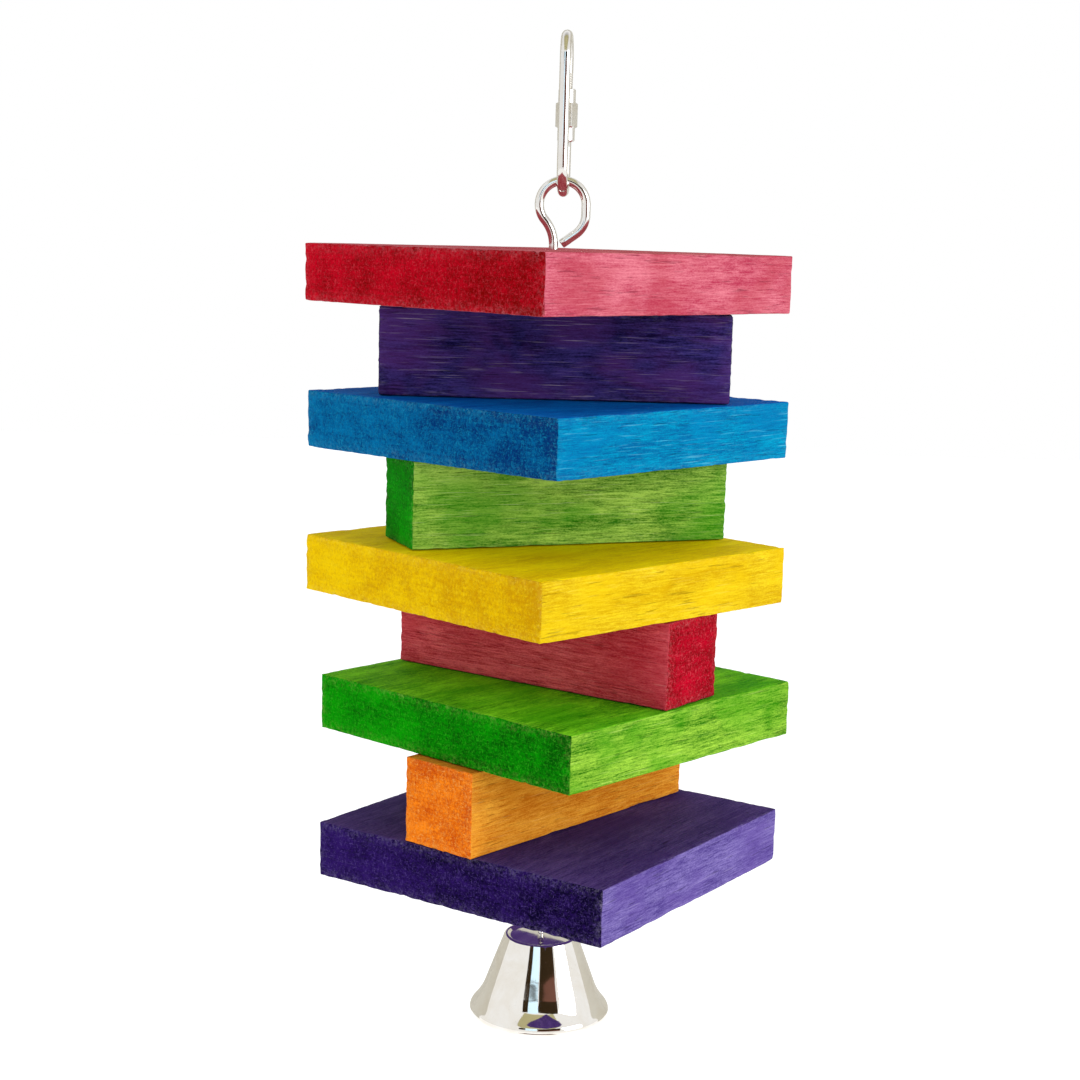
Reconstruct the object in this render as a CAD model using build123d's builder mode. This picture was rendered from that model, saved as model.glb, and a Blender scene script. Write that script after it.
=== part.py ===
from build123d import *
from math import acos, atan2, cos, degrees, radians, sin, sqrt, tan
import os

# A hanging bird toy: nine coloured wooden blocks threaded on one steel wire rod that hangs from a
# quick link, with a small bell on the rod's lower loop. Sizes are in millimetres. The origin is the
# hang point, where the bar that carries the toy sits in the top bow of the link. +Z is up, the
# link's plane is close to YZ, and the two eyes of the rod are bent in a plane along X.

# Wooden blocks: square slabs and square-section spacers, drilled through for the rod.
slab_side = 76.2
slab_thick = 12.7
spacer_length = 75.0
long_spacer_length = 76.5
spacer_width = 19.6
spacer_height = 19.2
block_gap = 0.1
block_hole_radius = 1.5
block_edge_radius = 0.4

# Wire sizes.
link_wire = 2.4
rod_wire = 2.0
hanger_wire = 1.4
clapper_stem_wire = 1.2
wire_play = 0.05

# Quick link and its nut.
link_length = 35.1
link_width = 12.5
link_turn = -3.4
nut_height = 11.2
nut_hex_height = 5.3
nut_hex_across_flats = 4.2
nut_collar_diameter = 3.8
nut_bore_play = 0.05
leg_gap = 4.0
stub_in_nut = 1.6
nut_chamfer = 0.25

# Rod: its axis stands a little to one side of the hang line, because only the eye is over it.
rod_x = -1.8
eye_radius = 5.1
eye_bend_radius = 8.0
eye_to_slab = 14.7
eye_tail_height = 1.1
eye_tail_reach = 1.7
eye_tail_slope = 36
loop_radius = 4.0
loop_bend_radius = 2.0
loop_shift = 1.5
loop_end_angle = 136
loop_bend_in_slab = 0.8

# Bell.
bell_wall = 0.7
bell_crown_drop = 16.3
bell_crown_radius = 8.5
bell_crown_recess = 0.6
bell_flank_end_radius = 13.8
bell_flank_height = 14.4
bell_skirt_radius = 16.35
bell_lip_radius = 14.5
bell_height = 19.35
bell_skirt_top = 17.5
bell_skirt_bottom = 19.05
bead_width = 0.7
bead_radii = [0.2, 0.2, 0.5]
skirt_radii = [14.0, 2.2, 0.8]
crown_inner_radius = 0.5
inner_skirt_radii = [14.0, 1.3, 0.3]
bell_hole_play = 0.05
hanger_ring_radius = 3.8
hanger_ring_bend = 2.0
hanger_hook_radius = 2.1
hanger_hook_bend = 1.2
hanger_end_angle = 116
hook_below_crown = 0.15
clapper_eye_radius = 1.9
clapper_eye_bend = 1.0
clapper_ball_radius = 2.2
clapper_ball_below_lip = 5.0
clapper_stem_in_ball = 1.4

# Length, width and height of each kind of block.
block_sizes = {
    "slab": (slab_side, slab_side, slab_thick),
    "spacer": (spacer_length, spacer_width, spacer_height),
    "long_spacer": (long_spacer_length, spacer_width, spacer_height),
}

# Blocks from the top down: name, kind, turn about the rod, and how far the block's middle is from
# its drilled hole along X and Y. A slab's turn of 0 puts its corners on the X and Y axes.
blocks = [
    ("slab_red", "slab", -0.5, -1.0, 1.5),
    ("spacer_purple", "long_spacer", 0.5, 1.0, -1.5),
    ("slab_blue", "slab", 2, 0, 1.5),
    ("spacer_green", "spacer", 22, 2.5, 1.0),
    ("slab_yellow", "slab", -0.5, 0, -2.0),
    ("spacer_red", "spacer", -36, 2.5, 0.5),
    ("slab_green", "slab", 3, 3.5, 1.5),
    ("spacer_orange", "spacer", 50, 2.5, -1.5),
    ("slab_purple", "slab", 11, 3.5, -0.5),
]

# Heights worked out from the top down.
link_top_z = link_wire / 2
link_bow_radius = (link_width - link_wire) / 2
link_bow_z = link_wire - link_length + link_wire / 2
top_bow_centre_z = link_top_z - link_bow_radius
bottom_bow_centre_z = link_bow_z + link_bow_radius
nut_z = (top_bow_centre_z + bottom_bow_centre_z) / 2
eye_top_z = link_bow_z + (link_wire + rod_wire) / 2 + wire_play
stack_top_z = eye_top_z - eye_to_slab
stack_height = sum(block_sizes[block[1]][2] for block in blocks) + (len(blocks) - 1) * block_gap
stack_bottom_z = stack_top_z - stack_height
loop_start_z = stack_bottom_z + loop_bend_in_slab


def eye_depth(ring_radius, bend_radius, ring_shift=0):
    """Distance from the start of an eye's first bend to the middle of its ring."""
    return sqrt((ring_radius + bend_radius) ** 2 - (bend_radius - ring_shift) ** 2)


bell_x = rod_x + loop_shift
loop_centre_z = loop_start_z - eye_depth(loop_radius, loop_bend_radius, loop_shift)
loop_bottom_z = loop_centre_z - loop_radius
crown_z = stack_bottom_z - bell_crown_drop
ring_top_z = loop_bottom_z + (rod_wire + hanger_wire) / 2 + wire_play
ring_centre_z = ring_top_z - hanger_ring_radius
crown_underside_z = crown_z - bell_crown_recess - bell_wall
hook_start_z = crown_underside_z - hook_below_crown
hook_centre_z = hook_start_z - eye_depth(hanger_hook_radius, hanger_hook_bend)
hook_bottom_z = hook_centre_z - hanger_hook_radius
clapper_eye_top_z = hook_bottom_z + (hanger_wire + clapper_stem_wire) / 2 + wire_play
clapper_eye_z = clapper_eye_top_z - clapper_eye_radius
ball_z = crown_z - bell_height - clapper_ball_below_lip


def bent_eye(shank_x, ring_z, ring_radius, bend_radius, end_angle, way, ring_shift=0):
    """Wire line of an eye over or under its shank: a short bend out to one side, then most of a
    turn back to the shank. way is -1 for an eye at the shank's lower end and +1 at its upper end.
    ring_shift is how far the ring's middle is from the shank's line. The eye is drawn inside the
    line builder that calls it, with the shank at shank_x."""
    start_z = ring_z - way * eye_depth(ring_radius, bend_radius, ring_shift)
    turn = degrees(acos((bend_radius - ring_shift) / (ring_radius + bend_radius)))
    CenterArc((shank_x + bend_radius, start_z), bend_radius, 180, -way * turn)
    CenterArc((shank_x + ring_shift, ring_z), ring_radius, -way * turn, way * (turn + 360 - end_angle))


def sweep_wire(path, diameter):
    """Fill a wire line with round wire, inside the part builder that calls it."""
    with BuildSketch(Plane(origin=path.line @ 0, z_dir=path.line % 0)) as section:
        Circle(diameter / 2)
    sweep(sections=section.sketch, path=path.line)


def finish(part, name):
    """Name a finished piece and write it."""
    part.label = name
    export_step(part, f"parts/{name}.step")


def make_block(name, kind, turn, shift_x, shift_y, top_z):
    """One wooden block with eased edges, drilled for the rod. Its grain runs along its own X."""
    length, width, thick = block_sizes[kind]
    yaw = turn + 45 if kind == "slab" else turn
    middle = Plane((rod_x + shift_x, shift_y, top_z - thick / 2)).rotated((0, 0, yaw))
    with BuildPart() as block:
        with BuildSketch(middle.offset(-thick / 2)):
            Rectangle(length, width)
        extrude(amount=thick)
        fillet(block.edges(), block_edge_radius)
        with BuildSketch(Plane((rod_x, 0, top_z))):
            Circle(block_hole_radius)
        extrude(amount=-thick, mode=Mode.SUBTRACT)
    finish(block.part, name)
    return top_z - thick - block_gap


def make_quick_link(link_plane):
    """Oval of round wire with one leg cut through, where the nut closes it."""
    leg = link_bow_radius
    upper_end_z = nut_z - nut_height / 2 + stub_in_nut + leg_gap
    stub_end_z = nut_z - nut_height / 2 + stub_in_nut
    with BuildPart() as quick_link:
        with BuildLine(link_plane) as path:
            Line((leg, upper_end_z), (leg, top_bow_centre_z))
            CenterArc((0, top_bow_centre_z), link_bow_radius, 0, 180)
            Line((-leg, top_bow_centre_z), (-leg, bottom_bow_centre_z))
            CenterArc((0, bottom_bow_centre_z), link_bow_radius, 180, 180)
            Line((leg, bottom_bow_centre_z), (leg, stub_end_z))
        sweep_wire(path, link_wire)
    finish(quick_link.part, "quick_link")


def make_quick_link_nut(link_plane):
    """Hexagon nut with a round collar at each end, running on the cut leg."""
    nut_plane = Plane(link_plane.from_local_coords(Vector(link_bow_radius, nut_z, 0)))
    with BuildPart() as nut:
        with BuildSketch(nut_plane):
            Circle(nut_collar_diameter / 2)
        extrude(amount=nut_height / 2, both=True)
        chamfer(nut.edges().filter_by(GeomType.CIRCLE), nut_chamfer)
        with BuildSketch(nut_plane):
            RegularPolygon(nut_hex_across_flats / 2, 6, major_radius=False)
        extrude(amount=nut_hex_height / 2, both=True)
        with BuildSketch(nut_plane):
            Circle(link_wire / 2 + nut_bore_play)
        extrude(amount=nut_height, both=True, mode=Mode.SUBTRACT)
    finish(nut.part, "quick_link_nut")


def make_eye_rod():
    """Long wire: a drop-shaped eye over the stack, the straight rod, and a loop under the stack."""
    eye_z = eye_top_z - eye_radius
    tail_x = rod_x + eye_tail_reach
    tail_z = stack_top_z + eye_tail_height
    slope = radians(eye_tail_slope)
    tail_end_x = eye_radius * sin(slope)
    tail_end_z = tail_z + (tail_end_x - tail_x) * tan(slope)
    side_z = tail_end_z + eye_radius * cos(slope)
    bend_x = rod_x - eye_bend_radius
    bend_z = eye_z - sqrt((eye_radius + eye_bend_radius) ** 2 - bend_x**2)
    join_angle = 360 + degrees(atan2(bend_z - eye_z, bend_x))
    with BuildPart() as eye_rod:
        with BuildLine(Plane.XZ) as path:
            Line((tail_x, tail_z), (tail_end_x, tail_end_z))
            CenterArc((0, side_z), eye_radius, eye_tail_slope - 90, 90 - eye_tail_slope)
            Line((eye_radius, side_z), (eye_radius, eye_z))
            CenterArc((0, eye_z), eye_radius, 0, join_angle)
            CenterArc((bend_x, bend_z), eye_bend_radius, join_angle - 180, 180 - join_angle)
            Line((rod_x, bend_z), (rod_x, loop_start_z))
            bent_eye(rod_x, loop_centre_z, loop_radius, loop_bend_radius, loop_end_angle, -1, loop_shift)
        sweep_wire(path, rod_wire)
    finish(eye_rod.part, "eye_rod")


def inset_outline(points, distance):
    """Corners of an outline moved to its right-hand side by distance, mitred at each corner."""
    moved = []
    for i, (x, z) in enumerate(points):
        before = points[max(i - 1, 0)]
        after = points[min(i + 1, len(points) - 1)]
        way_in = Vector(x - before[0], z - before[1]) if i > 0 else Vector(after[0] - x, after[1] - z)
        way_out = Vector(after[0] - x, after[1] - z) if i < len(points) - 1 else way_in
        normal_in = Vector(way_in.Y, -way_in.X).normalized()
        normal_out = Vector(way_out.Y, -way_out.X).normalized()
        mitre = (normal_in + normal_out) / (1 + normal_in.dot(normal_out))
        moved.append((x + mitre.X * distance, z + mitre.Y * distance))
    return moved


def make_bell_shell():
    """Spun bell: a dished crown with a small bead, a conical flank and a skirt curled in."""
    hole = hanger_wire / 2 + bell_hole_play
    slope = (bell_flank_end_radius - bell_crown_radius) / bell_flank_height
    body = [
        (hole, -bell_crown_recess),
        (bell_crown_radius + slope * bell_crown_recess, -bell_crown_recess),
        (bell_flank_end_radius, -bell_flank_height),
        (bell_skirt_radius, -bell_skirt_top),
        (bell_skirt_radius, -bell_skirt_bottom),
        (bell_lip_radius, -bell_height),
    ]
    bead = [
        (bell_crown_radius - bead_width - bell_crown_recess, -bell_crown_recess),
        (bell_crown_radius - bead_width, 0),
        (bell_crown_radius, 0),
    ]
    outer = body[:1] + bead + body[2:]
    inner = inset_outline(body, bell_wall)
    bell_plane = Plane((bell_x, 0, crown_z), x_dir=(1, 0, 0), z_dir=(0, -1, 0))
    with BuildPart() as bell_shell:
        with BuildSketch(bell_plane):
            with BuildLine():
                FilletPolyline(*outer, radius=bead_radii + skirt_radii)
                Line(outer[-1], inner[-1])
                FilletPolyline(*inner, radius=[crown_inner_radius] + inner_skirt_radii)
                Line(outer[0], inner[0])
            make_face()
        revolve(axis=Axis((bell_x, 0, 0), (0, 0, 1)))
    finish(bell_shell.part, "bell_shell")


def make_bell_hanger():
    """Wire through the crown: a ring over the rod's loop above, a hook for the clapper inside."""
    with BuildPart() as bell_hanger:
        with BuildLine(Plane.YZ.offset(bell_x)) as path:
            bent_eye(0, ring_centre_z, hanger_ring_radius, hanger_ring_bend, hanger_end_angle, 1)
            shank_top_z = ring_centre_z - eye_depth(hanger_ring_radius, hanger_ring_bend)
            Line((0, shank_top_z), (0, hook_start_z))
            bent_eye(0, hook_centre_z, hanger_hook_radius, hanger_hook_bend, hanger_end_angle, -1)
        sweep_wire(path, hanger_wire)
    finish(bell_hanger.part, "bell_hanger")


def make_clapper_wire():
    """Stem of the clapper, with an eye that hooks over the hanger inside the bell."""
    with BuildPart() as clapper_wire:
        with BuildLine(Plane.XZ) as path:
            bent_eye(bell_x, clapper_eye_z, clapper_eye_radius, clapper_eye_bend, hanger_end_angle, 1)
            stem_top_z = clapper_eye_z - eye_depth(clapper_eye_radius, clapper_eye_bend)
            Line((bell_x, stem_top_z), (bell_x, ball_z + clapper_ball_radius - clapper_stem_in_ball))
        sweep_wire(path, clapper_stem_wire)
    finish(clapper_wire.part, "clapper_wire")


def make_clapper_ball():
    """Ball pressed on to the end of the stem, in a blind hole."""
    with BuildPart() as clapper_ball:
        with Locations((bell_x, 0, ball_z)):
            Sphere(clapper_ball_radius)
        with BuildSketch(Plane((bell_x, 0, ball_z + clapper_ball_radius))):
            Circle(clapper_stem_wire / 2)
        extrude(amount=-clapper_stem_in_ball, mode=Mode.SUBTRACT)
    finish(clapper_ball.part, "clapper_ball")


os.makedirs("parts", exist_ok=True)
turn = radians(link_turn)
link_plane = Plane((0, 0, 0), x_dir=(-sin(turn), cos(turn), 0), z_dir=(cos(turn), sin(turn), 0))
make_quick_link(link_plane)
make_quick_link_nut(link_plane)
make_eye_rod()
block_top_z = stack_top_z
for name, kind, block_turn, shift_x, shift_y in blocks:
    block_top_z = make_block(name, kind, block_turn, shift_x, shift_y, block_top_z)
make_bell_shell()
make_bell_hanger()
make_clapper_wire()
make_clapper_ball()

heights = {
    "link bow": link_bow_z,
    "stack top": stack_top_z,
    "stack bottom": stack_bottom_z,
    "loop bottom": loop_bottom_z,
    "hook bottom": hook_bottom_z,
    "crown": crown_z,
    "ball": ball_z,
}
for name, height in heights.items():
    print(f"{name}: z = {height:.3f} mm")
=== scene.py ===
from math import acos, atan2, cos, degrees, exp, pi, radians, sin, sqrt, tan

import bpy
import numpy as np
from mathutils import Matrix, Vector, noise


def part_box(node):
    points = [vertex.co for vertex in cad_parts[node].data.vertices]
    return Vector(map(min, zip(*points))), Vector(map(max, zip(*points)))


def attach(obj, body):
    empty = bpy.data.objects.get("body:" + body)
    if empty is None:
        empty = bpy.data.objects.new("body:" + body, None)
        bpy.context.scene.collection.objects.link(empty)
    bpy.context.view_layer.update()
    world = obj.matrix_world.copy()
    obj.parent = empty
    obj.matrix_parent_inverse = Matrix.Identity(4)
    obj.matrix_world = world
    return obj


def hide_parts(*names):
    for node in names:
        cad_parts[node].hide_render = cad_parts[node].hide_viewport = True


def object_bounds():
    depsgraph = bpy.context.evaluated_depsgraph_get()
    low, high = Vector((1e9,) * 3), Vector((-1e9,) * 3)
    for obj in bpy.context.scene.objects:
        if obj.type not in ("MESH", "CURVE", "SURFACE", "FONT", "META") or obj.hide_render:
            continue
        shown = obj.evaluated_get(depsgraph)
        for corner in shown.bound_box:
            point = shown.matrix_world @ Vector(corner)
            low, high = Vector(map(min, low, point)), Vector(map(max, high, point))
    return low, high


# A hanging bird toy of dyed wooden blocks on a wire rod, with a quick link above and a bell below.
# Named sizes are millimetres, as in the CAD part; meshes are written in metres through MM.
MM = 0.001

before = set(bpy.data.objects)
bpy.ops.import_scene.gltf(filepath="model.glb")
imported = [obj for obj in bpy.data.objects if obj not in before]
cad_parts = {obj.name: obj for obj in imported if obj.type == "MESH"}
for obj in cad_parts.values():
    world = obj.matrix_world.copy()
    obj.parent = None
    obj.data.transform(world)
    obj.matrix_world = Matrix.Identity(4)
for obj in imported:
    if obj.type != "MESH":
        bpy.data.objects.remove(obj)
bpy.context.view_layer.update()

# Wires and hardware, the same sizes as the CAD part.
link_wire = 2.4
rod_wire = 2.0
hanger_wire = 1.4
clapper_stem_wire = 1.2
wire_play = 0.05
link_length = 35.1
link_width = 12.5
link_turn = -3.4
nut_height = 11.2
nut_hex_height = 5.3
nut_hex_across_flats = 4.2
nut_collar_diameter = 3.8
nut_bore_play = 0.05
nut_chamfer = 0.25
nut_bore_ease = 0.12
nut_corner_chamfer = 0.22
nut_fillet_height = 0.08
nut_fillet_reach = 0.02
nut_face_ease = 0.04
thread_length = 9.4
thread_pitch = 0.5
thread_depth = 0.14
leg_gap = 4.0
stub_in_nut = 1.6
rod_x = -1.8
eye_radius = 5.1
eye_bend_radius = 8.0
eye_tail_height = 1.1
eye_tail_reach = 1.7
eye_tail_slope = 36
loop_radius = 4.0
loop_bend_radius = 2.0
loop_shift = 1.5
loop_end_angle = 136
loop_bend_in_slab = 0.8
hanger_ring_radius = 3.8
hanger_ring_bend = 2.0
hanger_hook_radius = 2.1
hanger_hook_bend = 1.2
hanger_end_angle = 116
hook_below_crown = 0.15
clapper_eye_radius = 1.9
clapper_eye_bend = 1.0
clapper_ball_radius = 2.2
clapper_stem_in_ball = 1.4

# Bell outline.
bell_wall = 0.7
bell_crown_radius = 8.5
bell_crown_recess = 0.6
bell_flank_end_radius = 13.8
bell_flank_height = 14.4
bell_skirt_radius = 16.35
bell_skirt_top = 17.5
bell_skirt_bottom = 19.05
bell_lip_radius = 14.5
bell_height = 19.35
bell_hole_play = 0.05
bead_width = 0.7
bead_radii = [0.2, 0.2, 0.5]
skirt_radii = [14.0, 2.2, 0.8]
inner_crown_radius = 0.5
inner_skirt_radii = [14.0, 1.3, 0.3]
bell_wobble = 0.03

# Wooden blocks.
slab_side = 76.2
slab_thick = 12.7
spacer_length = 75.0
long_spacer_length = 76.5
spacer_width = 19.6
spacer_height = 19.2
block_hole_radius = 1.5
block_hole_ease = 0.15
block_hole_ease_depth = 0.25
block_edge_radius = 0.4
slab_cell = 1.1
spacer_cell = 0.7
hole_patch = 3.0
hole_patch_cells = 6

# Length, width and height of each kind of block.
block_sizes = {
    "slab": (slab_side, slab_side, slab_thick),
    "spacer": (spacer_length, spacer_width, spacer_height),
    "long_spacer": (long_spacer_length, spacer_width, spacer_height),
}

# Node, kind, turn about the rod and dye of each block, from the top down.
blocks = [
    ("slab_red", "slab", -0.5, "red"),
    ("spacer_purple", "long_spacer", 0.5, "indigo"),
    ("slab_blue", "slab", 2, "blue"),
    ("spacer_green", "spacer", 22, "green"),
    ("slab_yellow", "slab", -0.5, "yellow"),
    ("spacer_red", "spacer", -36, "crimson"),
    ("slab_green", "slab", 3, "lime"),
    ("spacer_orange", "spacer", 50, "orange"),
    ("slab_purple", "slab", 11, "violet"),
]

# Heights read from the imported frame, in millimetres.
stack_top_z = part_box("slab_red")[1].z / MM
stack_bottom_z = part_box("slab_purple")[0].z / MM
crown_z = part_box("bell_shell")[1].z / MM
ball_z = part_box("clapper_ball")[0].z / MM + clapper_ball_radius
link_bow_radius = (link_width - link_wire) / 2
top_bow_z = link_wire / 2 - link_bow_radius
bow_bottom_z = link_wire - link_length + link_wire / 2
bottom_bow_z = bow_bottom_z + link_bow_radius
nut_z = (top_bow_z + bottom_bow_z) / 2
eye_top_z = bow_bottom_z + (link_wire + rod_wire) / 2 + wire_play


def eye_depth(ring_radius, bend_radius, ring_shift=0):
    """Distance from the start of an eye's first bend to the middle of its ring."""
    return sqrt((ring_radius + bend_radius) ** 2 - (bend_radius - ring_shift) ** 2)


bell_x = rod_x + loop_shift
loop_start_z = stack_bottom_z + loop_bend_in_slab
loop_z = loop_start_z - eye_depth(loop_radius, loop_bend_radius, loop_shift)
loop_bottom_z = loop_z - loop_radius
ring_z = loop_bottom_z + (rod_wire + hanger_wire) / 2 + wire_play - hanger_ring_radius
hook_start_z = crown_z - bell_crown_recess - bell_wall - hook_below_crown
hook_z = hook_start_z - eye_depth(hanger_hook_radius, hanger_hook_bend)
hook_bottom_z = hook_z - hanger_hook_radius
clapper_eye_top_z = hook_bottom_z + (hanger_wire + clapper_stem_wire) / 2 + wire_play
clapper_eye_z = clapper_eye_top_z - clapper_eye_radius


# ---------------------------------------------------------------- shader helpers


class Shader:
    """Small wrapper that adds and wires nodes of one material."""

    def __init__(self, name):
        self.material = bpy.data.materials.new(name)
        self.material.use_nodes = True
        self.tree = self.material.node_tree
        self.surface = self.tree.nodes["Principled BSDF"]
        self.coords = self.add("ShaderNodeTexCoord")

    def add(self, kind, inputs=None, **settings):
        node = self.tree.nodes.new(kind)
        for key, value in settings.items():
            setattr(node, key, value)
        for key, value in (inputs or {}).items():
            self.put(node.inputs[key], value)
        return node

    def put(self, socket, value):
        if isinstance(value, bpy.types.NodeSocket):
            self.tree.links.new(value, socket)
        else:
            socket.default_value = value

    def math(self, operation, a, b=0.0):
        return self.add("ShaderNodeMath", {0: a, 1: b}, operation=operation).outputs[0]

    def total(self, *parts):
        """Sum of (value, weight) pairs."""
        value, weight = parts[0]
        result = self.math("MULTIPLY", value, weight)
        for value, weight in parts[1:]:
            result = self.math("ADD", result, self.math("MULTIPLY", value, weight))
        return result

    def ramp(self, value, low, high, to_low=0.0, to_high=1.0):
        inputs = {"Value": value, "From Min": low, "From Max": high}
        inputs.update({"To Min": to_low, "To Max": to_high})
        return self.add("ShaderNodeMapRange", inputs, clamp=True).outputs[0]

    def mix(self, fac, a, b, blend="MIX"):
        node = self.add("ShaderNodeMix", data_type="RGBA", blend_type=blend)
        self.put(node.inputs["Factor"], fac)
        self.put(node.inputs[6], rgba(a))
        self.put(node.inputs[7], rgba(b))
        return node.outputs[2]

    def stretched(self, scale, turn=(0, 0, 0), shift=(0, 0, 0)):
        inputs = {"Vector": self.coords.outputs["Object"], "Scale": scale}
        inputs.update({"Rotation": turn, "Location": shift})
        return self.add("ShaderNodeMapping", inputs).outputs[0]

    def noise(self, vector, scale, detail=2.0, rough=0.5, distortion=0.0):
        inputs = {"Vector": vector, "Scale": scale, "Detail": detail}
        inputs.update({"Roughness": rough, "Distortion": distortion})
        return self.add("ShaderNodeTexNoise", inputs).outputs[0]


def rgba(colour):
    """The colour with an alpha of 1 where it has none; a socket is passed on."""
    if isinstance(colour, bpy.types.NodeSocket) or len(colour) == 4:
        return colour
    return (*colour, 1.0)


def srgb(red, green, blue):
    """Linear colour of a display colour given in 0 to 255."""
    channels = [c / 255 for c in (red, green, blue)]
    return tuple(c / 12.92 if c <= 0.04045 else ((c + 0.055) / 1.055) ** 2.4 for c in channels)


# ---------------------------------------------------------------- dyed wood

# Display colours of each dye. On the first line, the long grain's dark and light and its clouds;
# on the second, its pale dashes, how strong they are, and the painted light and shade of the flat
# faces (a tint for how light falls on tops and bottoms, lighter or darker per dye); on the third,
# the end grain's dark and light and its fuzz.
dyes = {
    "red": dict(
        long=(160, 46, 72), long_light=(202, 112, 126), cloud=(158, 44, 60),
        dash=(232, 150, 158), dashes=0.3, flat=(0.95, 1.0, 0.8),
        end=(122, 0, 0), end_light=(188, 0, 28), fuzz=(216, 66, 78),
    ),
    "indigo": dict(
        long=(6, 2, 44), long_light=(60, 50, 116), cloud=(78, 38, 102),
        dash=(150, 138, 158), dashes=0.6, flat=(0.85, 0.8, 0.85),
        end=(14, 6, 44), end_light=(50, 30, 92), fuzz=(120, 100, 150),
    ),
    "blue": dict(
        long=(0, 80, 132), long_light=(0, 140, 178), cloud=(0, 104, 158),
        dash=(110, 196, 216), dashes=0.4, flat=(0.36, 0.62, 1.2),
        end=(0, 44, 104), end_light=(0, 106, 160), fuzz=(24, 150, 190),
    ),
    "green": dict(
        long=(30, 100, 0), long_light=(166, 206, 84), cloud=(52, 142, 8),
        dash=(196, 212, 140), dashes=0.5, flat=(0.7, 0.75, 0.6),
        end=(0, 82, 0), end_light=(2, 156, 0), fuzz=(60, 190, 34),
    ),
    "yellow": dict(
        long=(182, 140, 0), long_light=(218, 192, 30), cloud=(212, 178, 4),
        dash=(246, 232, 110), dashes=0.25, flat=(1.4, 1.44, 0.12),
        end=(200, 146, 0), end_light=(238, 198, 0), fuzz=(250, 222, 40),
    ),
    "crimson": dict(
        long=(152, 24, 40), long_light=(222, 96, 108), cloud=(178, 44, 60),
        dash=(226, 148, 148), dashes=0.3, flat=(0.8, 0.7, 0.7),
        end=(104, 0, 2), end_light=(172, 0, 32), fuzz=(214, 80, 92),
    ),
    "lime": dict(
        long=(30, 100, 0), long_light=(150, 196, 62), cloud=(64, 142, 10),
        dash=(190, 220, 110), dashes=0.4, flat=(0.62, 1.15, 0.35),
        end=(0, 80, 0), end_light=(4, 148, 0), fuzz=(60, 190, 34),
    ),
    "orange": dict(
        long=(196, 104, 14), long_light=(240, 166, 56), cloud=(210, 124, 26),
        dash=(244, 200, 120), dashes=0.4, flat=(0.8, 0.75, 0.7),
        end=(196, 72, 0), end_light=(252, 138, 24), fuzz=(255, 190, 100),
    ),
    "violet": dict(
        long=(66, 50, 118), long_light=(124, 110, 172), cloud=(84, 62, 136),
        dash=(180, 168, 212), dashes=0.35, flat=(0.5, 0.36, 0.52),
        end=(4, 0, 32), end_light=(42, 18, 92), fuzz=(96, 76, 150),
    ),
}

# Noise scales of the wood, per metre: long grain, then end grain.
figure_scale = 420
fibre_scale = 3000
cloud_scale = 110
tint_scale = 80
dash_scale = 3200
pore_scale = 2300
nap_scale = 4200
spot_scale = 1700
stain_scale = 110
saw_scale = 1500
hair_scales = (3000, 2800)
rub_scale = 1500


def long_grain_colour(s, dye, shift, seed):
    """Colour and height of the long grain, and its fibres: growth figure, fine fibres, pores,
    clouds, and thin pale dashes where the dye didn't take."""
    dark = srgb(*dye["long"])
    figure = s.noise(s.stretched((0.06, 1.0, 1.0), shift=shift), figure_scale, 3, 0.55, 0.8)
    fibres = s.noise(s.stretched((0.08, 1.0, 1.0), shift=shift), fibre_scale, 4, 0.65, 0.3)
    clouds = s.noise(s.stretched((0.4, 1.0, 1.0), shift=shift), cloud_scale, 3, 0.55, 0.5)
    tint = s.noise(s.stretched((0.6, 1.0, 1.0), shift=(seed * 0.7, 0, 0)), tint_scale, 3, 0.55, 0.3)
    dashes = s.noise(s.stretched((0.03, 1.0, 1.0), shift=shift), dash_scale, 3, 0.5, 0.0)
    dashes = s.math("MULTIPLY", s.ramp(dashes, 0.6, 0.72), s.ramp(clouds, 0.4, 0.62, 0.35, 1.0))
    pores = s.noise(s.stretched((0.06, 1.0, 1.0), shift=(seed, 0, 0)), pore_scale, 2, 0.5)
    pores = s.ramp(pores, 0.36, 0.28)
    nap = s.noise(s.stretched((0.4, 1.0, 1.0), shift=shift), nap_scale, 2, 0.6, 0.6)
    tone = s.total((figure, 0.7), (fibres, 1.6), (clouds, 0.9), (nap, 1.0))
    colour = s.mix(s.ramp(tone, 1.74, 2.48), dark, srgb(*dye["long_light"]))
    colour = s.mix(s.ramp(tint, 0.46, 0.62, 0.0, 0.5), colour, srgb(*dye["cloud"]))
    colour = s.mix(s.math("MULTIPLY", pores, 0.5), colour, tuple(c * 0.45 for c in dark))
    colour = s.mix(s.math("MULTIPLY", dashes, dye["dashes"]), colour, srgb(*dye["dash"]))
    height = s.total((fibres, 0.9), (figure, 0.35))
    height = s.math("SUBTRACT", height, s.math("MULTIPLY", pores, 0.5))
    return colour, height, fibres


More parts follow.
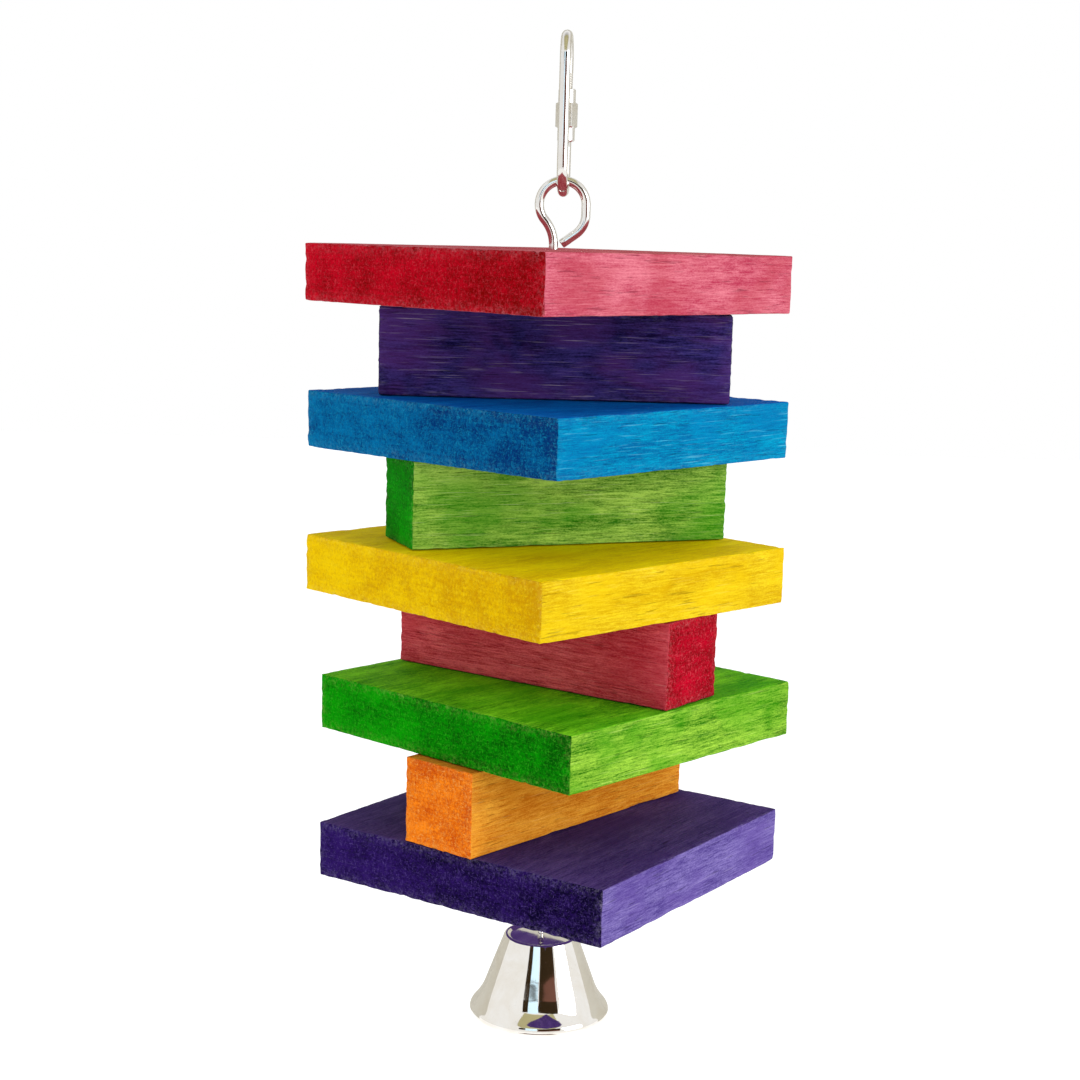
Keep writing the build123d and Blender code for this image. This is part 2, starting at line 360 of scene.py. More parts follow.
def end_grain_colour(s, dye, shift, across):
    """Colour and height of the end grain: blotches, saw lines, and short torn fibres that catch
    the light. More dye soaked in towards one side."""
    spots = s.noise(s.stretched((1, 1, 1), shift=shift), spot_scale, 4, 0.7, 0.3)
    stain = s.noise(s.stretched((1, 1, 1.4), shift=shift), stain_scale, 3, 0.6, 0.2)
    saw_lines = s.noise(s.stretched((1, 0.06, 1), shift=shift), saw_scale, 2, 0.5)
    soaked = s.ramp(across, -0.038, 0.038, -0.12, 0.16)
    hair_a = s.noise(s.stretched((1, 0.4, 1.0), (0.7, 0, 0), shift), hair_scales[0], 2, 0.5, 1.2)
    hair_b = s.noise(s.stretched((1, 1.0, 0.4), (0.5, 0, 0), shift), hair_scales[1], 2, 0.5, 1.2)
    hair = s.math("MAXIMUM", s.ramp(hair_a, 0.57, 0.7), s.ramp(hair_b, 0.58, 0.7))
    tone = s.total((spots, 1.1), (saw_lines, 0.35), (stain, 0.8), (soaked, 1.0))
    colour = s.mix(s.ramp(tone, 0.92, 1.38), srgb(*dye["end"]), srgb(*dye["end_light"]))
    colour = s.mix(s.math("MULTIPLY", hair, 0.45), colour, srgb(*dye["fuzz"]))
    return colour, s.total((spots, 0.8), (hair, 0.5))


def wood(name, dye, seed):
    """Dyed, unvarnished wood. The grain runs along the object's own X axis."""
    s = Shader(name)
    shift = (seed * 0.37, seed * 0.19, seed * 0.53)
    normal = s.add("ShaderNodeSeparateXYZ", {0: s.coords.outputs["Normal"]}).outputs
    place = s.add("ShaderNodeSeparateXYZ", {0: s.coords.outputs["Object"]}).outputs
    end_mask = s.ramp(s.math("ABSOLUTE", normal[0]), 0.5, 0.82)
    # Mask of the top and bottom faces, where the painted light and shade tint goes.
    flat_shading_mask = s.ramp(s.math("ABSOLUTE", normal[2]), 0.5, 0.85)
    wear = s.add("ShaderNodeAttribute", attribute_name="wear").outputs["Fac"]
    long_colour, long_height, fibres = long_grain_colour(s, dye, shift, seed)
    end_colour, end_height = end_grain_colour(s, dye, shift, place[1])

    # Flat faces get painted light and shade, a per-dye tint for how light falls on tops and
    # bottoms;
    # edges, most of all at the ends, are rubbed paler.
    flat = s.mix(1.0, long_colour, (*dye["flat"], 1.0), "MULTIPLY")
    colour = s.mix(flat_shading_mask, long_colour, flat)
    colour = s.mix(end_mask, colour, end_colour)
    rubs = s.noise(s.stretched((0.5, 1, 1), shift=shift), rub_scale, 3, 0.7)
    rubbed = s.math("MULTIPLY", wear, s.ramp(rubs, 0.45, 0.7))
    rubbed = s.math("MULTIPLY", rubbed, s.ramp(end_mask, 0.0, 1.0, 0.25, 0.6))
    colour = s.mix(rubbed, colour, srgb(*dye["dash"]))
    s.put(s.surface.inputs["Base Color"], colour)

    heights = {"Factor": end_mask, 2: long_height, 3: end_height}
    height = s.add("ShaderNodeMix", heights, data_type="FLOAT").outputs[0]
    bump = s.add("ShaderNodeBump", {"Height": height, "Strength": 0.7, "Distance": 0.0002})
    s.put(s.surface.inputs["Normal"], bump.outputs[0])
    s.put(s.surface.inputs["Roughness"], s.ramp(fibres, 0.3, 0.7, 0.7, 0.88))
    s.surface.inputs["Specular IOR Level"].default_value = 0.02
    return s.material


# ---------------------------------------------------------------- bright metal

# Noise scales of the metal, per metre, and the warmer tint of its smears.
smear_scale = 160
line_scale = 2600
pit_scale = 1900
warm_tint = (0.93, 0.90, 0.85)


def nickel(name, tint, dull, stretch):
    """Bright plated metal with faint smears, fine lines along its own length and small pits. dull
    is its least roughness."""
    s = Shader(name)
    smears = s.noise(s.stretched((1, 1, 1)), smear_scale, 4, 0.6, 0.5)
    lines = s.noise(s.stretched(stretch), line_scale, 3, 0.6, 0.0)
    pits = s.ramp(s.noise(s.stretched((1, 1, 1)), pit_scale, 2, 0.5), 0.7, 0.78)
    warm = tuple(c * f for c, f in zip(tint, warm_tint))
    colour = s.mix(s.ramp(smears, 0.35, 0.7), tint, warm)
    colour = s.mix(s.math("MULTIPLY", pits, 0.35), colour, tuple(c * 0.4 for c in tint))
    s.put(s.surface.inputs["Base Color"], colour)
    s.surface.inputs["Metallic"].default_value = 1.0
    rough = s.ramp(smears, 0.3, 0.75, dull, dull * 2)
    rough = s.math("ADD", rough, s.math("MULTIPLY", pits, 0.2))
    s.put(s.surface.inputs["Roughness"], rough)
    height = s.math("SUBTRACT", s.math("MULTIPLY", lines, 0.5), pits)
    bump = s.add("ShaderNodeBump", {"Height": height, "Strength": 0.02, "Distance": 0.00004})
    s.put(s.surface.inputs["Normal"], bump.outputs[0])
    return s.material


# ---------------------------------------------------------------- meshes


def add_piece(name, vertices, faces, material, node, body, sharp_angle, place=None):
    """Make a mesh object from vertices in millimetres and let it stand for a CAD node."""
    mesh = bpy.data.meshes.new(name)
    mesh.from_pydata([(x * MM, y * MM, z * MM) for x, y, z in vertices], [], faces)
    mesh.validate()
    mesh.shade_smooth()
    mesh.set_sharp_from_angle(angle=radians(sharp_angle))
    mesh.materials.append(material)
    piece = bpy.data.objects.new(name, mesh)
    bpy.context.scene.collection.objects.link(piece)
    if place is not None:
        piece.matrix_world = place
    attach(piece, body)
    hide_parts(node)
    return piece


def arc(centre, radius, start, sweep, step=5.0):
    """Points on an arc in the wire's plane, its angles in degrees."""
    count = max(2, int(abs(sweep) / step) + 1)
    angles = [radians(start + sweep * i / count) for i in range(count + 1)]
    return [(centre[0] + radius * cos(a), centre[1] + radius * sin(a)) for a in angles]


def straight(start, end, step=4.0):
    """Points along a straight stretch of wire."""
    across, along = end[0] - start[0], end[1] - start[1]
    count = max(1, int(sqrt(across**2 + along**2) / step))
    return [(start[0] + across * i / count, start[1] + along * i / count) for i in range(count + 1)]


def join_runs(*runs):
    """One list of points from runs that share their end points."""
    points = list(runs[0])
    for run in runs[1:]:
        points += run[1:]
    return points


def bent_eye(shank, ring_height, ring_radius, bend_radius, end_angle, way, ring_shift=0):
    """Points of an eye, below its shank when way is -1 and above it when +1. ring_shift is how
    far the ring's middle is from the shank's line."""
    start = ring_height - way * eye_depth(ring_radius, bend_radius, ring_shift)
    turn = degrees(acos((bend_radius - ring_shift) / (ring_radius + bend_radius)))
    bend = arc((shank + bend_radius, start), bend_radius, 180, -way * turn)
    centre = (shank + ring_shift, ring_height)
    ring = arc(centre, ring_radius, -way * turn, way * (turn + 360 - end_angle))
    return join_runs(bend, ring)


def wire_mesh(points, diameter, across, origin=(0, 0), sides=28, groove=None):
    """Round wire along points of a plane. across is the plane's horizontal direction in X and Y,
    origin a point of it. Each end is cut square with a small chamfer. groove(distance, angle)
    gives how deep the surface is cut at a place."""
    out = Vector((across[0], across[1], 0))
    side = Vector((-across[1], across[0], 0))
    base = Vector((origin[0], origin[1], 0))
    line = [base + out * u + Vector((0, 0, z)) for u, z in points]
    chamfer = diameter * 0.08
    stations = []
    travelled = 0.0
    for i, point in enumerate(line):
        tangent = (line[min(i + 1, len(line) - 1)] - line[max(i - 1, 0)]).normalized()
        travelled += (point - line[i - 1]).length if i else 0.0
        stations.append((point, tangent, travelled, 0.0))
    first, last = stations[0], stations[-1]
    stations[0] = (first[0] + first[1] * chamfer, first[1], first[2], 0.0)
    stations[-1] = (last[0] - last[1] * chamfer, last[1], last[2], 0.0)
    stations.insert(0, (first[0], first[1], first[2], chamfer))
    stations.append((last[0], last[1], last[2], chamfer))
    vertices = []
    for point, tangent, distance, cut in stations:
        up = tangent.cross(side)
        for k in range(sides):
            angle = 2 * pi * k / sides
            radius = diameter / 2 - cut - (groove(distance, angle) if groove else 0.0)
            vertices.append(point + (side * cos(angle) + up * sin(angle)) * radius)
    faces = []
    for i in range(len(stations) - 1):
        for k in range(sides):
            n = (k + 1) % sides
            faces.append((i * sides + k, i * sides + n, (i + 1) * sides + n, (i + 1) * sides + k))
    faces.append(tuple(reversed(range(sides))))
    faces.append(tuple(range((len(stations) - 1) * sides, len(stations) * sides)))
    return vertices, faces


def round_corners(points, radii, step=3.0):
    """A polyline with its inner corners replaced by arcs of the given radii."""
    result = [points[0]]
    for i, radius in enumerate(radii, start=1):
        corner = Vector(points[i])
        back = (Vector(points[i - 1]) - corner).normalized()
        ahead = (Vector(points[i + 1]) - corner).normalized()
        half = back.angle(ahead) / 2
        centre = corner + (back + ahead).normalized() * (radius / sin(half))
        start = corner + back * (radius / tan(half)) - centre
        end = corner + ahead * (radius / tan(half)) - centre
        first = atan2(start.y, start.x)
        sweep = (atan2(end.y, end.x) - first + pi) % (2 * pi) - pi
        count = max(2, int(degrees(abs(sweep)) / step))
        for j in range(count + 1):
            angle = first + sweep * j / count
            result.append((centre.x + radius * cos(angle), centre.y + radius * sin(angle)))
    result.append(points[-1])
    return result


def inset_outline(points, distance):
    """Corners of an outline moved to its right-hand side by distance, mitred at each corner."""
    moved = []
    for i, (x, z) in enumerate(points):
        here = Vector((x, z))
        way_in = here - Vector(points[i - 1]) if i > 0 else Vector(points[1]) - here
        way_out = Vector(points[i + 1]) - here if i < len(points) - 1 else way_in
        normal_in = Vector((way_in.y, -way_in.x)).normalized()
        normal_out = Vector((way_out.y, -way_out.x)).normalized()
        mitre = (normal_in + normal_out) / (1 + normal_in.dot(normal_out))
        moved.append((x + mitre.x * distance, z + mitre.y * distance))
    return moved


def divide(points, step):
    """The same polyline with points no further apart than step."""
    result = [points[0]]
    for a, b in zip(points, points[1:]):
        dx, dz = b[0] - a[0], b[1] - a[1]
        count = max(1, int(sqrt(dx**2 + dz**2) / step + 0.5))
        result += [(a[0] + dx * j / count, a[1] + dz * j / count) for j in range(1, count + 1)]
    return result


def turned_mesh(rings, centre, sides, closed=True, shape=None):
    """A turned solid from (radius, height) rings. closed joins the last ring to the first, for a
    part with a hole along its axis. shape(radius, height, angle) may change a ring's radius."""
    vertices = []
    for radius, height in rings:
        for k in range(sides):
            angle = 2 * pi * k / sides
            r = shape(radius, height, angle) if shape else radius
            x, y = centre[0] + r * cos(angle), centre[1] + r * sin(angle)
            vertices.append((x, y, centre[2] + height))
    faces = []
    count = len(rings)
    for i in range(count if closed else count - 1):
        j = (i + 1) % count
        for k in range(sides):
            n = (k + 1) % sides
            faces.append((i * sides + k, j * sides + k, j * sides + n, i * sides + n))
    if not closed:
        faces.append(tuple(range(sides)))
        faces.append(tuple(reversed(range((count - 1) * sides, count * sides))))
    return vertices, faces


def spacing(half, edge, hole, patch, cells, step):
    """Grid places across a block: close together in the rounded edges, even elsewhere, with the
    square patch round the drilled hole cut into its own number of cells. hole None has no patch."""
    inner = half - edge
    rounded = [inner + edge * tan(radians(a)) for a in (15, 30, 45)]
    stops = [-inner, inner] if hole is None else [-inner, hole - patch, hole + patch, inner]
    places = [-v for v in reversed(rounded)]
    for i, (low, high) in enumerate(zip(stops, stops[1:])):
        count = cells if hole is not None and i == 1 else max(1, round((high - low) / step))
        places += [low + (high - low) * j / count for j in range(count)]
    return places + [inner] + rounded


def block_mesh(length, width, height, step, hole, seed):
    """A block in its own axes, grain along X, in cells of about step: rounded edges, a drilled
    hole, faint saw and plane marks, and torn nicks along the edges. Returns vertices, faces and
    how worn each vertex is."""
    half = np.array([length / 2, width / 2, height / 2])
    edge, patch, cells = block_edge_radius, hole_patch, hole_patch_cells
    xs = spacing(half[0], edge, hole[0], patch, cells, step)
    ys = spacing(half[1], edge, hole[1], patch, cells, step)
    zs = spacing(half[2], edge, None, patch, cells, step)
    index, vertices, faces = {}, [], []

    def vertex(x, y, z):
        key = (round(x, 4), round(y, 4), round(z, 4))
        if key not in index:
            index[key] = len(vertices)
            vertices.append((x, y, z))
        return index[key]

    def sheet(us, vs, place, skip=None):
        for u0, u1 in zip(us, us[1:]):
            for v0, v1 in zip(vs, vs[1:]):
                if skip and skip((u0 + u1) / 2, (v0 + v1) / 2):
                    continue
                corners = ((u0, v0), (u1, v0), (u1, v1), (u0, v1))
                faces.append(tuple(vertex(*place(u, v)) for u, v in corners))

    def in_patch(u, v):
        return abs(u - hole[0]) < patch and abs(v - hole[1]) < patch

    sheet(xs, ys, lambda u, v: (u, v, half[2]), in_patch)
    sheet(ys, xs, lambda u, v: (v, u, -half[2]), lambda u, v: in_patch(v, u))
    sheet(ys, zs, lambda u, v: (half[0], u, v))
    sheet(zs, ys, lambda u, v: (-half[0], v, u))
    sheet(zs, xs, lambda u, v: (v, half[1], u))
    sheet(xs, zs, lambda u, v: (u, -half[1], v))

    # Round the hole: rings from the square patch to the rim, then down through the block.
    ring = [(-patch + 2 * patch * i / cells, -patch) for i in range(cells)]
    ring += [(patch, -patch + 2 * patch * i / cells) for i in range(cells)]
    ring += [(patch - 2 * patch * i / cells, patch) for i in range(cells)]
    ring += [(-patch, patch - 2 * patch * i / cells) for i in range(cells)]
    blend_steps = (1.0, 0.55, 0.2, 0.0)
    mouth = block_hole_radius + block_hole_ease
    depth = height - 2 * block_hole_ease_depth
    walls = [half[2] - block_hole_ease_depth - depth * i / cells for i in range(cells + 1)]
    layers = [(t, mouth, half[2]) for t in blend_steps]
    layers += [(0.0, block_hole_radius, z) for z in walls]
    layers += [(t, mouth, -half[2]) for t in reversed(blend_steps)]
    loops = []
    for t, radius, z in layers:
        loop = []
        for u, v in ring:
            reach = sqrt(u * u + v * v)
            x = hole[0] + u * t + u / reach * radius * (1 - t)
            y = hole[1] + v * t + v / reach * radius * (1 - t)
            loop.append(vertex(x, y, z))
        loops.append(loop)
    for above, below in zip(loops, loops[1:]):
        for i in range(len(ring)):
            j = (i + 1) % len(ring)
            faces.append((above[i], above[j], below[j], below[i]))

    flat = np.array(vertices)
    core = np.clip(flat, -(half - edge), half - edge)
    away = flat - core
    reach = np.linalg.norm(away, axis=1)
    normals = away / np.maximum(reach, 1e-9)[:, None]
    rounded = core + normals * edge
    outside = reach > 1e-6
    shaped = np.where(outside[:, None], rounded, flat)
    wear = np.zeros(len(shaped))
    for i, point in enumerate(shaped):
        if not outside[i]:
            continue
        shaped[i], wear[i] = weathered(point, normals[i], half, seed)
    return [tuple(p) for p in shaped], faces, wear


# Depths of the marks on a block, and how far from an edge or an end they reach, in millimetres.
plane_depth = 0.035
ridge_depth = 0.03
swell_depth = 0.03
end_depth = 0.04
saw_depth = 0.05
edge_depth = 0.04
deepest_mark = 0.75
tuft_depth = 0.22
edge_reach = 1.5
end_reach = 0.9


def weathered(point, normal, half, seed):
    """Move a surface point inwards by the marks of saw and plane, by nicks along the edges and by
    the tufts left at the ends. Returns the point and how worn it is."""
    x, y, z = point
    gaps = sorted(half - np.abs(point))
    edge_near = exp(-((gaps[1] / edge_reach) ** 2))
    end_near = exp(-(((half[0] - abs(x)) / end_reach) ** 2))
    end_face = abs(normal[0])
    ridges = noise.noise(Vector((x * 0.05 + seed, y * 1.1, z * 1.1)))
    sawn = noise.noise(Vector((x * 0.9, y * 0.8 + seed, z * 0.8)))
    swell = noise.noise(Vector((x * 0.04, y * 0.09 + seed, z * 0.09)))
    torn = noise.noise(Vector((x * 0.16 + seed * 3, y * 0.55, z * 0.55)))
    fine_torn = noise.noise(Vector((x * 0.5, y * 0.9 + seed * 5, z * 0.9)))
    tuft = noise.noise(Vector((seed * 7.0 + (x > 0), y * 1.6, z * 1.6)))
    depth = plane_depth + ridge_depth * ridges + swell_depth * swell
    depth += end_face * (end_depth + saw_depth * sawn)
    nick = max(0.0, torn - 0.2) * 0.6 + max(0.0, fine_torn - 0.25) * 0.4
    depth += edge_near * (nick * (0.8 + 0.9 * end_face) + edge_depth)
    wear = edge_near * min(1.0, 0.25 + 2.2 * nick)
    moved = point - normal * min(depth, deepest_mark)
    inwards = -1 if x > 0 else 1
    moved[0] += inwards * end_near * tuft_depth * max(0.0, 0.5 - tuft) * edge_near
    return moved, wear


# ---------------------------------------------------------------- pieces


def build_block(name, kind, turn, dye, seed):
    """One wooden block, standing for its CAD node, in its own axes with the grain along X."""
    length, width, height = block_sizes[kind]
    low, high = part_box(name)
    centre = (low + high) / 2
    yaw = radians(turn + 45 if kind == "slab" else turn)
    place = Matrix.Translation(centre) @ Matrix.Rotation(yaw, 4, "Z")
    rod_here = place.inverted() @ Vector((rod_x * MM, 0, centre.z)) / MM
    step = slab_cell if kind == "slab" else spacer_cell
    hole = (rod_here.x, rod_here.y)
    vertices, faces, wear = block_mesh(length, width, height, step, hole, seed)
    material = wood("wood_" + dye, dyes[dye], seed)
    body = name + "_body"
    piece = add_piece(name + "_wood", vertices, faces, material, name, body, 40, place)
    attribute = piece.data.attributes.new("wear", "FLOAT", "POINT")
    attribute.data.foreach_set("value", wear.astype(np.float32))


def build_quick_link(metal):
    """The link's bent wire, with a screw thread cut on the leg end that the nut covers."""
    leg = link_bow_radius
    stub_z = nut_z - nut_height / 2 + stub_in_nut
    leg_end_z = stub_z + leg_gap
    points = join_runs(
        straight((leg, leg_end_z), (leg, leg_end_z + thread_length), thread_pitch / 5),
        straight((leg, leg_end_z + thread_length), (leg, top_bow_z)),
        arc((0, top_bow_z), leg, 0, 180, 4),
        straight((-leg, top_bow_z), (-leg, bottom_bow_z)),
        arc((0, bottom_bow_z), leg, 180, 180, 4),
        straight((leg, bottom_bow_z), (leg, stub_z)),
    )

    def groove(distance, angle):
        phase = (distance / thread_pitch - angle / (2 * pi)) % 1.0
        fade = min(1.0, max(0.0, (thread_length - distance) / 0.8))
        return thread_depth * fade * abs(2 * phase - 1)

    turn = radians(link_turn)
    vertices, faces = wire_mesh(points, link_wire, (-sin(turn), cos(turn)), sides=36, groove=groove)
    add_piece("link_wire", vertices, faces, metal, "quick_link", "link", 50)


def build_nut(metal):
    """Hexagon nut with a collar each end: chamfered corners, and a bore with eased mouths."""
    turn = radians(link_turn)
    centre = (-sin(turn) * link_bow_radius, cos(turn) * link_bow_radius, nut_z)
    collar = nut_collar_diameter / 2
    flats = nut_hex_across_flats / 2
    corners = flats / cos(pi / 6)
    bore = link_wire / 2 + nut_bore_play
    top, hexagon = nut_height / 2, nut_hex_height / 2
    middle = 0.9
    half = [
        (bore + nut_bore_ease, top),
        (collar - nut_chamfer, top),
        (collar, top - nut_chamfer),
        (collar, hexagon + nut_fillet_height),
        (collar + nut_fillet_reach, hexagon),
        (flats - nut_face_ease, hexagon),
        (corners, hexagon - nut_corner_chamfer),
        (corners, middle),
    ]
    bore_half = [(bore, middle), (bore, top - nut_bore_ease)]
    outside = half + [(r, -z) for r, z in reversed(half)]
    inside = [(r, -z) for r, z in reversed(bore_half)] + bore_half
    rings = divide(list(reversed(outside + inside)), 0.6)

    def shape(radius, height, angle):
        if abs(height) > hexagon or radius < collar:
            return radius
        facet = (angle - turn) % (pi / 3) - pi / 6
        return min(radius, flats / cos(facet))

    vertices, faces = turned_mesh(rings, centre, 96, shape=shape)
    add_piece("link_nut", vertices, faces, metal, "quick_link_nut", "nut", 25)


def build_eye_rod(metal):
    """The long wire: drop-shaped eye above, straight rod, loop below."""
    eye_z = eye_top_z - eye_radius
    slope = radians(eye_tail_slope)
    tail = (rod_x + eye_tail_reach, stack_top_z + eye_tail_height)
    tail_end_x = eye_radius * sin(slope)
    tail_end_z = tail[1] + (tail_end_x - tail[0]) * tan(slope)
    side_z = tail_end_z + eye_radius * cos(slope)
    bend_x = rod_x - eye_bend_radius
    bend_z = eye_z - sqrt((eye_radius + eye_bend_radius) ** 2 - bend_x**2)
    join_angle = 360 + degrees(atan2(bend_z - eye_z, bend_x))
    points = join_runs(
        straight(tail, (tail_end_x, tail_end_z), 1.0),
        arc((0, side_z), eye_radius, eye_tail_slope - 90, 90 - eye_tail_slope, 4),
        straight((eye_radius, side_z), (eye_radius, eye_z), 1.0),
        arc((0, eye_z), eye_radius, 0, join_angle, 4),
        arc((bend_x, bend_z), eye_bend_radius, join_angle - 180, 180 - join_angle, 4),
        straight((rod_x, bend_z), (rod_x, loop_start_z), 6),
        bent_eye(rod_x, loop_z, loop_radius, loop_bend_radius, loop_end_angle, -1, loop_shift),
    )
    vertices, faces = wire_mesh(points, rod_wire, (1, 0), sides=36)
    add_piece("rod_wire", vertices, faces, metal, "eye_rod", "rod", 50)


def build_bell(metal):
    """Spun bell shell, its wall following the CAD outline, very slightly out of true."""
    hole = hanger_wire / 2 + bell_hole_play
    slope = (bell_flank_end_radius - bell_crown_radius) / bell_flank_height
    body = [
        (hole, -bell_crown_recess),
        (bell_crown_radius + slope * bell_crown_recess, -bell_crown_recess),
        (bell_flank_end_radius, -bell_flank_height),
        (bell_skirt_radius, -bell_skirt_top),
        (bell_skirt_radius, -bell_skirt_bottom),
        (bell_lip_radius, -bell_height),
    ]
    bead = [
        (bell_crown_radius - bead_width - bell_crown_recess, -bell_crown_recess),
        (bell_crown_radius - bead_width, 0),
        (bell_crown_radius, 0),
    ]
    outer = round_corners(body[:1] + bead + body[2:], bead_radii + skirt_radii)
    inner_radii = [inner_crown_radius] + inner_skirt_radii
    inner = round_corners(inset_outline(body, bell_wall), inner_radii)
    rings = divide(outer + list(reversed(inner)), 0.5)

    def shape(radius, height, angle):
        if radius < hole + 0.5:
            return radius
        wobble = noise.noise(Vector((cos(angle) * 1.3, sin(angle) * 1.3, height * 0.22)))
        return radius - bell_wobble + bell_wobble * wobble

    vertices, faces = turned_mesh(rings, (bell_x, 0, crown_z), 160, shape=shape)
    add_piece("bell", vertices, faces, metal, "bell_shell", "bell", 40)


def build_bell_wires(metal):
    """The bell's hanger through the crown, and the clapper's stem hooked inside."""
    shank_top = ring_z - eye_depth(hanger_ring_radius, hanger_ring_bend)
    ring = bent_eye(0, ring_z, hanger_ring_radius, hanger_ring_bend, hanger_end_angle, 1)
    hook = bent_eye(0, hook_z, hanger_hook_radius, hanger_hook_bend, hanger_end_angle, -1)
    points = join_runs(list(reversed(ring)), straight((0, shank_top), (0, hook_start_z), 0.8), hook)
    vertices, faces = wire_mesh(points, hanger_wire, (0, 1), (bell_x, 0))
    add_piece("hanger_wire", vertices, faces, metal, "bell_hanger", "bell", 50)

    stem_top = clapper_eye_z - eye_depth(clapper_eye_radius, clapper_eye_bend)
    stem_bottom = ball_z + clapper_ball_radius - clapper_stem_in_ball
    eye = bent_eye(bell_x, clapper_eye_z, clapper_eye_radius, clapper_eye_bend, hanger_end_angle, 1)
    points = join_runs(list(reversed(eye)), straight((bell_x, stem_top), (bell_x, stem_bottom), 2))
    vertices, faces = wire_mesh(points, clapper_stem_wire, (1, 0))
    add_piece("clapper_stem", vertices, faces, metal, "clapper_wire", "clapper", 50)


def build_clapper_ball(metal):
    """Ball with a blind hole for the stem and a slight flat where it was turned off."""
    stem = clapper_stem_wire / 2
    first = degrees(acos(stem / clapper_ball_radius))
    hole_floor = clapper_ball_radius - clapper_stem_in_ball
    rings = [(0.05, hole_floor), (stem, hole_floor)]
    rings += arc((0, 0), clapper_ball_radius, first, -first - 86, 6)
    vertices, faces = turned_mesh(rings, (bell_x, 0, ball_z), 48, closed=False)
    name = "clapper_ball_turned"
    add_piece(name, vertices, faces, metal, "clapper_ball", "clapper", 40)


# ---------------------------------------------------------------- stage, light and camera


def plain_material(name, colour, glow=0.0):
    """Even matt colour for the floor and the cards. glow lights it in its own colour."""
    s = Shader(name)
    s.surface.inputs["Base Color"].default_value = rgba(colour)
    s.surface.inputs["Roughness"].default_value = 0.9
    s.surface.inputs["Specular IOR Level"].default_value = 0.0
    s.surface.inputs["Emission Color"].default_value = rgba(colour)
    s.surface.inputs["Emission Strength"].default_value = glow
    return s.material


def aimed(place, target, axis):
    """Matrix of a thing at place whose own axis points to target."""
    direction = Vector(target) - Vector(place)
    return Matrix.Translation(place) @ direction.to_track_quat(axis, "Y").to_matrix().to_4x4()


def add_panel(name, centre, facing, width, height, material):
    """A flat rectangle standing at centre and turned towards facing."""
    u, v = width / 2, height / 2
    mesh = bpy.data.meshes.new(name)
    mesh.from_pydata([(-u, -v, 0), (u, -v, 0), (u, v, 0), (-u, v, 0)], [], [(0, 1, 2, 3)])
    mesh.materials.append(material)
    panel = bpy.data.objects.new(name, mesh)
    bpy.context.scene.collection.objects.link(panel)
    panel.matrix_world = aimed(centre, facing, "Z")
    return panel


def add_light(name, place, target, size, power):
    """Square soft light aimed at a point."""
    data = bpy.data.lights.new(name, "AREA")
    data.size = size
    data.energy = power
    light = bpy.data.objects.new(name, data)
    bpy.context.scene.collection.objects.link(light)
    light.matrix_world = aimed(place, target, "-Z")


def build_world():
    """White surroundings, dimmer overhead."""
    world = bpy.data.worlds.new("studio")
    bpy.context.scene.world = world
    world.use_nodes = True
    tree = world.node_tree
    background = tree.nodes["Background"]
    coords = tree.nodes.new("ShaderNodeTexCoord")
    split = tree.nodes.new("ShaderNodeSeparateXYZ")
    level = tree.nodes.new("ShaderNodeMapRange")
    limits = {"From Min": 0.75, "From Max": 0.96, "To Min": 1.0, "To Max": 0.5}
    for key, value in limits.items():
        level.inputs[key].default_value = value
    tree.links.new(coords.outputs["Generated"], split.inputs[0])
    tree.links.new(split.outputs[2], level.inputs["Value"])
    tree.links.new(level.outputs[0], background.inputs["Strength"])
    background.inputs["Color"].default_value = (1.0, 1.0, 1.0, 1.0)


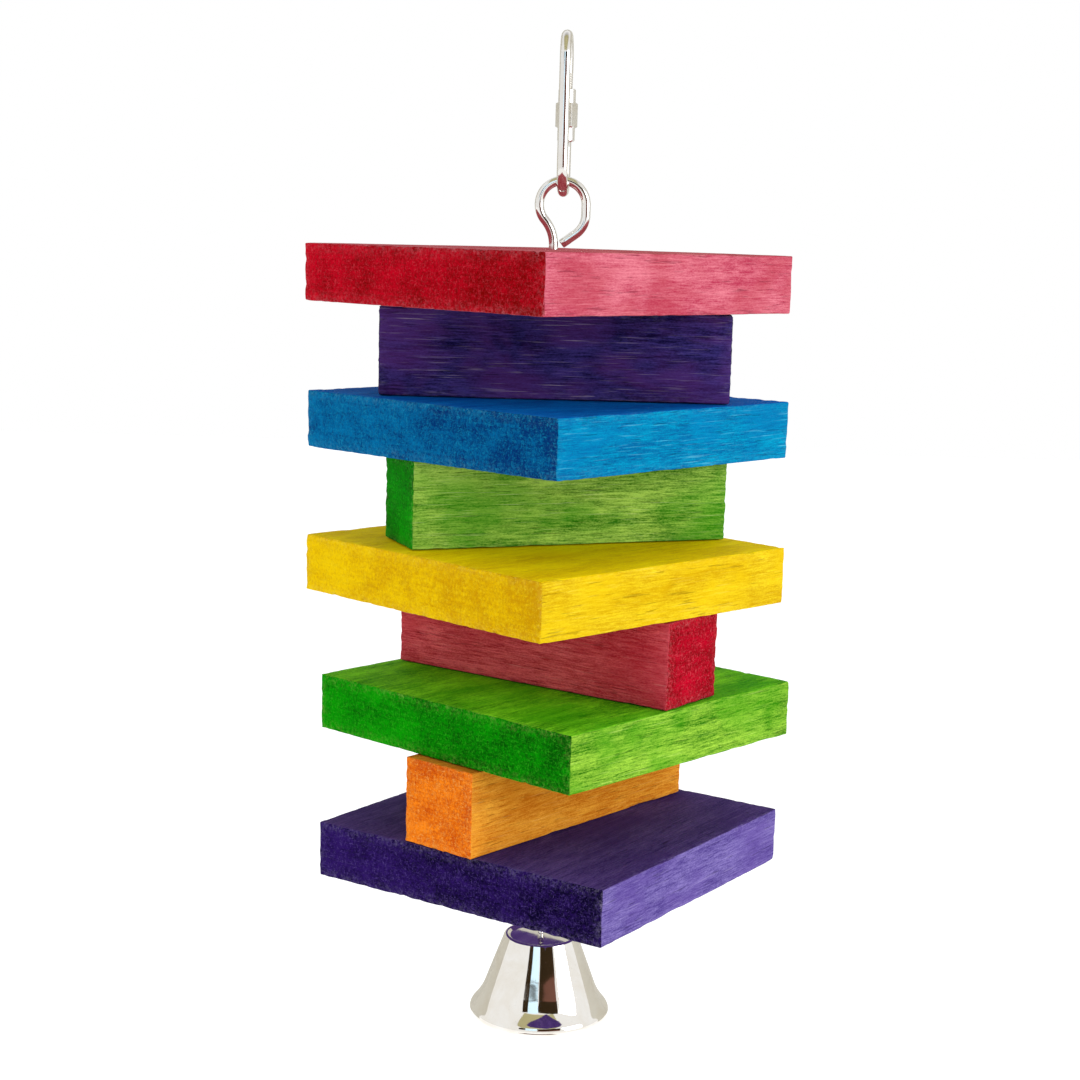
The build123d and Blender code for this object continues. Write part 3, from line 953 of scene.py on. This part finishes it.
def build_stage():
    """Pale floor well below the hanging toy, and cards round about that only the metal mirrors."""
    floor_drop, card_drop = 0.5, 0.069
    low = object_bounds()[0][2]
    pale = plain_material("pale_floor", (0.9, 0.9, 0.9), 0.44)
    add_panel("floor_plane", (0, 0, low - floor_drop), (0, 0, 1), 12, 12, pale)
    dark = plain_material("dark_card", (0.03, 0.018, 0.008))
    brown = plain_material("brown_card", (0.16, 0.07, 0.05))
    olive = plain_material("olive_card", (0.42, 0.39, 0.22))
    grey = plain_material("grey_card", (0.55, 0.53, 0.47))
    window = plain_material("window_card", (0.58, 0.78, 0.92), 0.3)
    toy = (0, 0, -0.12)
    cards = (
        ("card_left", (-0.48, -0.95, 0.3), toy, 0.22, 0.37, dark),
        ("card_right", (0.31, -0.95, 0.3), toy, 0.71, 0.37, dark),
        ("card_level", (0.29, -0.95, 0.02), toy, 0.66, 0.18, brown),
        ("card_window", (-0.2, -0.96, 0.25), toy, 0.34, 0.46, window),
        ("window_bar_upper", (-0.2, -0.945, 0.112), toy, 0.34, 0.003, dark),
        ("window_bar_lower", (-0.2, -0.945, 0.100), toy, 0.34, 0.008, dark),
        ("card_above", (0, -0.45, 1.2), toy, 1.5, 1.9, olive),
        ("card_behind", (0, 1.3, -0.05), toy, 2.2, 1.8, grey),
        ("card_below", (0, -0.16, low - card_drop), (0, -0.16, 1), 0.16, 0.1, brown),
        ("side_left", (-1.0, 0.75, 0.1), toy, 0.8, 1.4, grey),
        ("side_right", (1.0, 0.75, 0.1), toy, 0.8, 1.4, grey),
    )
    for name, centre, facing, width, height, material in cards:
        card = add_panel(name, centre, facing, width, height, material)
        card.visible_camera = False
        card.visible_diffuse = False
        card.visible_shadow = False
    add_light("key", (1.0, -0.6, 0.18), toy, 0.7, 8.0)


def build_camera():
    """Camera just above the top block, looking slightly down at the toy's front corner."""
    side, distance, rise = 0.93 * MM, 0.4395, 0.0035
    down, roll = radians(10.95), radians(1.59)
    forward = Vector((0, cos(down), -sin(down)))
    right = Vector((1, 0, 0))
    up = right.cross(forward)
    across = right * cos(roll) + up * sin(roll)
    upward = up * cos(roll) - right * sin(roll)
    camera_data = bpy.data.cameras.new("camera")
    camera_data.sensor_width = 36.0
    camera_data.lens = 65.8
    camera_data.shift_x = -0.0068
    camera_data.shift_y = 0.0692
    camera_data.clip_start = 0.01
    camera = bpy.data.objects.new("camera", camera_data)
    bpy.context.scene.collection.objects.link(camera)
    rotation = Matrix((across, upward, -forward)).transposed().to_4x4()
    place = (rod_x * MM + side, -distance, stack_top_z * MM + rise)
    camera.matrix_world = Matrix.Translation(place) @ rotation
    bpy.context.scene.camera = camera


wire_metal = nickel("plated_wire", (0.80, 0.79, 0.77), 0.07, (1.0, 1.0, 0.05))
bell_metal = nickel("nickel_plate", (0.86, 0.84, 0.80), 0.03, (0.05, 0.05, 1.0))
build_quick_link(wire_metal)
build_nut(wire_metal)
build_eye_rod(wire_metal)
build_bell(bell_metal)
build_bell_wires(wire_metal)
build_clapper_ball(bell_metal)
for number, (block_name, block_kind, block_turn, block_dye) in enumerate(blocks, start=1):
    build_block(block_name, block_kind, block_turn, block_dye, number)
build_world()
build_stage()
build_camera()
bpy.context.scene.view_settings.view_transform = "Standard"
